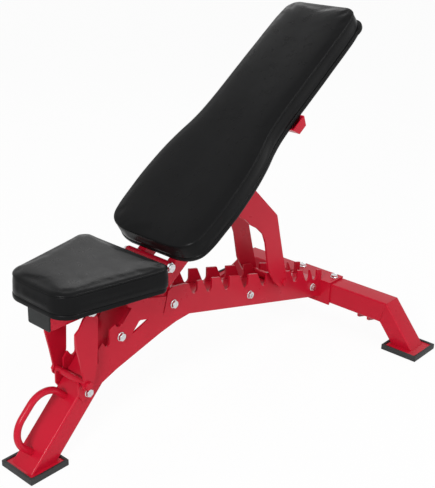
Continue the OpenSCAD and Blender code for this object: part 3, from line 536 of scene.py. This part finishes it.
def cushion(name, outline, spine, rim, crown, lip_out, place):
    """Closed cushion on a grid: each row is an (inset, height, share of the lip), and is the
    outline drawn in by the inset at that height. The rows climb the lip, the groove, the
    side band, which bulges by half a sine, and the pinched seam. A quarter ellipse rolls
    over the edge, and from its end a cubic, with the roll's own slope at its start and none
    at its end, climbs the crown to the spine line. place turns (along, across, up) in
    millimetres into the bench's own metres."""
    points, normal = outline
    foot = np.stack([np.clip(points[:, 0], *spine), 0 * points[:, 1]], -1)
    lip = lip_out(points, normal)
    tall = LIP_TALL
    rows = [(9.0, 10.4, 0), (9.0, 0.6, 0), (6.0, 0.3, 0), (2.5, 0.35, 1), (0.8, 1.3, 1),
            (0.1, 3.0, 1), (0.0, 5.5, 1), (0.0, tall - 3, 1), (0.3, tall - 1.2, 1),
            (1.0, tall - 0.3, 1), (2.0, tall + 0.4, 1), (2.2, tall + 1.1, 0)]
    rows += [(1.6 - BAND_BULGE * math.sin(math.pi * t), tall + 1.9 + t * (rim - tall - 4.9), 0)
             for t in np.linspace(0, 1, BAND_ROWS)]
    rows += [(1.9, rim - 2.2, 0), (2.6, rim - 1.6, 0), (2.6, rim - 1.1, 0), (1.7, rim - 0.5, 0),
             (0.8, rim + 0.2, 0)]
    roll = np.linspace(ROLL_START, ROLL_END, ROLL_ROWS)
    rows += [(0.6 + ROLL_WIDE * (1 - math.cos(a)), rim + ROLL_TALL * math.sin(a), 0)
             for a in roll]
    drawn_in, height, lip_share = np.array(rows).T[:, :, None]
    inset = drawn_in - lip_share * lip
    rings = points - normal * inset[:, :, None]
    heights = np.broadcast_to(height, inset.shape)
    edge, base = rings[-1], rows[-1][1]
    slope = ROLL_TALL * math.cos(ROLL_END) / (ROLL_WIDE * math.sin(ROLL_END))
    start = slope * np.linalg.norm(foot - edge, axis=1) / crown
    t = np.linspace(0, 1, CROWN_ROWS + 1)[1:, None]
    inner = edge + (foot - edge) * t[:, :, None]
    climb = base + crown * (start * (t - 2 * t ** 2 + t ** 3) + 3 * t ** 2 - 2 * t ** 3)
    xy = np.concatenate([foot[None], rings, inner])
    up = np.concatenate([np.full((1, len(points)), rows[0][1]), heights, climb])
    return sheet_mesh(name, [place(np.concatenate([xy, up[:, :, None]], -1))])


def stuffed(piece, up):
    """Swells a cushion as foam does: a remeshed copy is blown as cloth, held at the lip, and
    each point moves by the mean of its nearest points of the copy, weighted by one over
    their distance plus a softening. The length of a move is the cap times the hyperbolic
    tangent of move over cap, and a smooth step fades it out towards the lip."""
    lip_top = LIP_TALL * MM
    copy = bpy.data.objects.new("swelling", piece.data.copy())
    bpy.context.collection.objects.link(copy)
    voxels = copy.modifiers.new("voxels", "REMESH")
    voxels.mode, voxels.voxel_size = "VOXEL", SWELL_VOXEL
    even = bpy.data.meshes.new_from_object(
        copy.evaluated_get(bpy.context.evaluated_depsgraph_get()))
    copy.modifiers.clear()
    copy.data = even
    rest = np.empty(len(even.vertices) * 3)
    even.vertices.foreach_get("co", rest)
    rest = rest.reshape(-1, 3)
    height = up(rest)
    held = copy.vertex_groups.new(name="held")
    held.add(np.flatnonzero(height < lip_top + SWELL_HELD).tolist(), 1.0, "REPLACE")
    cloth = copy.modifiers.new("cloth", "CLOTH")
    cloth.settings.vertex_group_mass = "held"
    cloth.settings.quality = 5
    cloth.settings.use_pressure = True
    cloth.settings.uniform_pressure_force = SWELL_PRESSURE
    cloth.settings.effector_weights.gravity = 0
    scene = bpy.context.scene
    for step in range(1, SWELL_FRAMES + 1):
        scene.frame_set(step)
    blown = copy.evaluated_get(bpy.context.evaluated_depsgraph_get())
    moved = np.empty(len(even.vertices) * 3)
    blown.data.vertices.foreach_get("co", moved)
    moves = moved.reshape(-1, 3) - rest
    bpy.data.objects.remove(copy)
    scene.frame_set(1)
    finder = KDTree(len(rest))
    for index, point in enumerate(rest):
        finder.insert(point, index)
    finder.balance()
    co = np.empty(len(piece.data.vertices) * 3)
    piece.data.vertices.foreach_get("co", co)
    co = co.reshape(-1, 3)
    near = [finder.find_n(point, SWELL_NEAREST) for point in co]
    index = np.array([[n[1] for n in group] for group in near])
    weight = 1 / (np.array([[n[2] for n in group] for group in near]) + SWELL_SOFT)
    move = (moves[index] * weight[:, :, None]).sum(1) / weight.sum(1)[:, None]
    size = np.linalg.norm(move, axis=1)
    move *= (SWELL_CAP * np.tanh(size / SWELL_CAP) / np.maximum(size, 1e-9))[:, None]
    rise = np.clip((up(co) - lip_top - SWELL_FROM) / SWELL_BLEND, 0, 1)
    co += move * (rise * rise * (3 - 2 * rise))[:, None]
    piece.data.vertices.foreach_set("co", co.ravel())
    piece.data.update()


def seat_place(grid):
    """Station, across and height above the seat board, in metres."""
    return (grid + np.array([-STATION, 0, SEAT_FLOOR])) * MM


def seat_height(points):
    """Height of points above the seat board, in metres."""
    return points[:, 2] - SEAT_FLOOR * MM


def seat_lip(points, normal):
    """How far the lip stands out past the band. It is drawn in instead, since the board is
    narrower than the foam: by nothing at the front, growing evenly to its most at the rear."""
    return -SEAT_LIP_IN * (points[:, 0] - SEAT_FRONT) / (SEAT_REAR - SEAT_FRONT)


seat = cushion("seat_cushion", rounded_line(SEAT_CORNERS, SEAT_CORNER_R, GRID_STEP),
               SEAT_SPINE, SEAT_RIM, SEAT_CROWN, seat_lip, seat_place)
stuffed(seat, seat_height)
black_vinyl = vinyl_cover()
finish(seat, black_vinyl, "seat", "upholstery", "seat_pad")

# ------------------------------------------------------------------ back cushion
# The same build as the seat, in one long waisted panel: broad at the hips, narrow at the
# shoulders, so that the arms clear it. At its top the lip stands out past the band.

AXLE = (398.6, 382.0)
BACK_SLOPE = math.radians(35.26)
BACK_START = 21.0
BACK_LONG = 783.0
BACK_SPINE = 125, 690
BACK_RIM = 50.4
BACK_CROWN = 2.5
BACK_TOP_R = 39.0
BACK_LIP_TOP_R = 25.0
BACK_LIP_OUT = 2.2
CURVE_STEPS, TOP_ARC_STEPS = 12, 16
BACK_EDGE = [(0, -34), (0, 34), (0, 69), (8, 104), (28, 128), (62, 137.5), (110, 140.5),
             (152, 142), (200, 140.5), (250, 136.5), (300, 128.5), (340, 119.5), (380, 114),
             (440, 111.5), (520, 111.5), (578, 111.5), (622, 111), (662, 111), (715, 110),
             (750, 107), (BACK_LONG, 106)]


def smooth_through(knots, steps):
    """Curve through the knots: between each pair, the cubic whose slope at a knot is half
    the step between its neighbours."""
    p = np.array(knots, float)
    a, b, c, d = p[:-3, None], p[1:-2, None], p[2:-1, None], p[3:, None]
    t = np.linspace(0, 1, steps, endpoint=False)[None, :, None]
    curve = 0.5 * (2 * b + (c - a) * t + (2 * a - 5 * b + 4 * c - d) * t ** 2
                   + (3 * b - a - 3 * c + d) * t ** 3)
    return curve.reshape(-1, 2)


def back_line(spacing):
    """Outline of the back: its side curve, a quarter round at the top, and their mirror."""
    side = smooth_through(BACK_EDGE, CURVE_STEPS)
    side[:, 0] = np.maximum(side[:, 0], 0)
    side = side[(side[:, 1] > 0) & (side[:, 0] < BACK_LONG - BACK_TOP_R)]
    angle = np.radians(np.linspace(0, 90, TOP_ARC_STEPS))
    width = BACK_EDGE[-2][1]
    corner = np.stack([BACK_LONG - BACK_TOP_R + BACK_TOP_R * np.sin(angle),
                       width - BACK_TOP_R + BACK_TOP_R * np.cos(angle)], -1)
    half = np.vstack([side, corner])
    return evened(np.vstack([half, half[::-1] * (1, -1)]), spacing)


def back_place(grid):
    """Distance up the back from the axle, across it and out of its front, in metres."""
    s, y, n = grid[..., 0] + BACK_START, grid[..., 1], grid[..., 2]
    cos, sin = math.cos(BACK_SLOPE), math.sin(BACK_SLOPE)
    return np.stack([AXLE[0] - STATION + s * cos - n * sin, y, AXLE[1] + s * sin + n * cos],
                    -1) * MM


def back_height(points):
    """Height of points out of the back board's face, in metres."""
    return ((AXLE[0] - STATION) * MM - points[:, 0]) * math.sin(BACK_SLOPE) \
        + (points[:, 2] - AXLE[1] * MM) * math.cos(BACK_SLOPE)


def back_lip(points, normal):
    """How far the lip stands out past the band: it grows up the back, and at the two top
    corners it keeps a tighter round, so there it adds the gap between the two arcs."""
    corner = (points[:, 0] > BACK_LONG - BACK_TOP_R) * 2 * np.abs(normal[:, 0] * normal[:, 1])
    return BACK_LIP_OUT * points[:, 0] / BACK_LONG \
        + (BACK_TOP_R - BACK_LIP_TOP_R) * (math.sqrt(2) - 1) * corner


back = cushion("back_cushion", back_line(GRID_STEP), BACK_SPINE, BACK_RIM, BACK_CROWN,
               back_lip, back_place)
stuffed(back, back_height)
finish(back, black_vinyl, "back", "upholstery", "back_pad")

# ------------------------------------------------------------------ studio
# White floor and white surround. A key lamp stands off the front end, a strip hangs over
# the near side, a wide fill faces that side, and a rim lamp is behind on the far side.

FLOOR_WHITE = (0.86, 0.86, 0.86, 1)
FLOOR_ROUGHNESS = 0.9
FLOOR_REACH = 16.0
FLOOR_GLOW = 0.95
SKY_LEVEL = 0.45
BENCH_MIDDLE = (0, 0, 0.4)


def seen_rays(tree):
    """One for camera, glossy and transmission rays, and nothing for diffuse light."""
    path = tree.nodes.new("ShaderNodeLightPath")
    total = path.outputs["Is Camera Ray"]
    for kind in ("Is Glossy Ray", "Is Transmission Ray"):
        node = tree.nodes.new("ShaderNodeMath")
        node.operation = "MAXIMUM"
        tree.links.new(total, node.inputs[0])
        tree.links.new(path.outputs[kind], node.inputs[1])
        total = node.outputs[0]
    return total


floor_mesh = bpy.data.meshes.new("floor")
floor_mesh.from_pydata([(x * FLOOR_REACH, y * FLOOR_REACH, 0)
                        for x, y in ((-1, -1), (1, -1), (1, 1), (-1, 1))], [], [(0, 1, 2, 3)])
floor = bpy.data.objects.new("floor", floor_mesh)
bpy.context.collection.objects.link(floor)
floor_paint, tree, shader = shader_nodes("white_floor")
shader.inputs["Base Color"].default_value = FLOOR_WHITE
shader.inputs["Roughness"].default_value = FLOOR_ROUGHNESS
shader.inputs["Specular IOR Level"].default_value = 0.0
glow = tree.nodes.new("ShaderNodeEmission")
glow.inputs["Color"].default_value = (1, 1, 1, 1)
mix = tree.nodes.new("ShaderNodeMixShader")
part = tree.nodes.new("ShaderNodeMath")
part.operation = "MULTIPLY"
part.inputs[1].default_value = FLOOR_GLOW
tree.links.new(seen_rays(tree), part.inputs[0])
tree.links.new(part.outputs[0], mix.inputs["Fac"])
tree.links.new(shader.outputs["BSDF"], mix.inputs[1])
tree.links.new(glow.outputs["Emission"], mix.inputs[2])
tree.links.new(mix.outputs["Shader"], tree.nodes["Material Output"].inputs["Surface"])
floor_mesh.materials.append(floor_paint)

world = bpy.data.worlds.new("studio")
bpy.context.scene.world = world
world.use_nodes = True
tree = world.node_tree
surround = tree.nodes["Background"]
surround.inputs["Color"].default_value = (1, 1, 1, 1)
tree.links.new(spread(tree, seen_rays(tree), SKY_LEVEL, 1.0, 0.0, 1.0), surround.inputs["Strength"])


def lamp(name, place, target, wide, tall, watts):
    """Rectangular lamp of that width, height and power at place, facing the target."""
    light = bpy.data.lights.new(name, "AREA")
    light.shape, light.size, light.size_y, light.energy = "RECTANGLE", wide, tall, watts
    piece = bpy.data.objects.new(name, light)
    piece.location = place
    piece.rotation_euler = (Vector(target) - Vector(place)).to_track_quat("-Z", "Y").to_euler()
    bpy.context.collection.objects.link(piece)


lamp("key_lamp", (-2.7, -1.0, 1.7), BENCH_MIDDLE, 0.7, 0.7, 52)
lamp("strip_lamp", (0.5, -1.0, 2.2), (0, -0.1, 0.5), 1.8, 0.3, 14)
lamp("fill_lamp", (-0.4, -2.8, 1.3), BENCH_MIDDLE, 1.6, 1.6, 14)
lamp("rim_lamp", (1.6, 1.8, 2.4), BENCH_MIDDLE, 1.2, 1.2, 14)

# ------------------------------------------------------------------ camera
# Stands off the front near corner, a little above the back, looking down at the bench.
# Its angles are in degrees: clockwise from +Y seen from above, down from level, and roll.

CAMERA_PLACE = (-1.5193, -1.3303, 1.2100)
CAMERA_TURN = (47.07, 22.76, 0.78)
CAMERA_SHIFT = (0.07945, -0.0014)
FOCAL_MM = 66.754
SENSOR_MM = 36.0
yaw, pitch, roll = map(math.radians, CAMERA_TURN)
ahead = Vector((math.cos(pitch) * math.sin(yaw), math.cos(pitch) * math.cos(yaw),
                -math.sin(pitch)))
right = Vector((math.cos(yaw), -math.sin(yaw), 0))
up = right.cross(ahead)
tilted_right = math.cos(roll) * right + math.sin(roll) * up
tilted_up = -math.sin(roll) * right + math.cos(roll) * up
lens = bpy.data.cameras.new("camera")
lens.lens, lens.sensor_width, lens.sensor_height = FOCAL_MM, SENSOR_MM, SENSOR_MM
lens.shift_x, lens.shift_y = CAMERA_SHIFT
camera = bpy.data.objects.new("camera", lens)
camera.matrix_world = Matrix((
    (tilted_right.x, tilted_up.x, -ahead.x, CAMERA_PLACE[0]),
    (tilted_right.y, tilted_up.y, -ahead.y, CAMERA_PLACE[1]),
    (tilted_right.z, tilted_up.z, -ahead.z, CAMERA_PLACE[2]),
    (0, 0, 0, 1)))
bpy.context.collection.objects.link(camera)
bpy.context.scene.camera = camera
bpy.context.scene.view_settings.view_transform = "Standard"
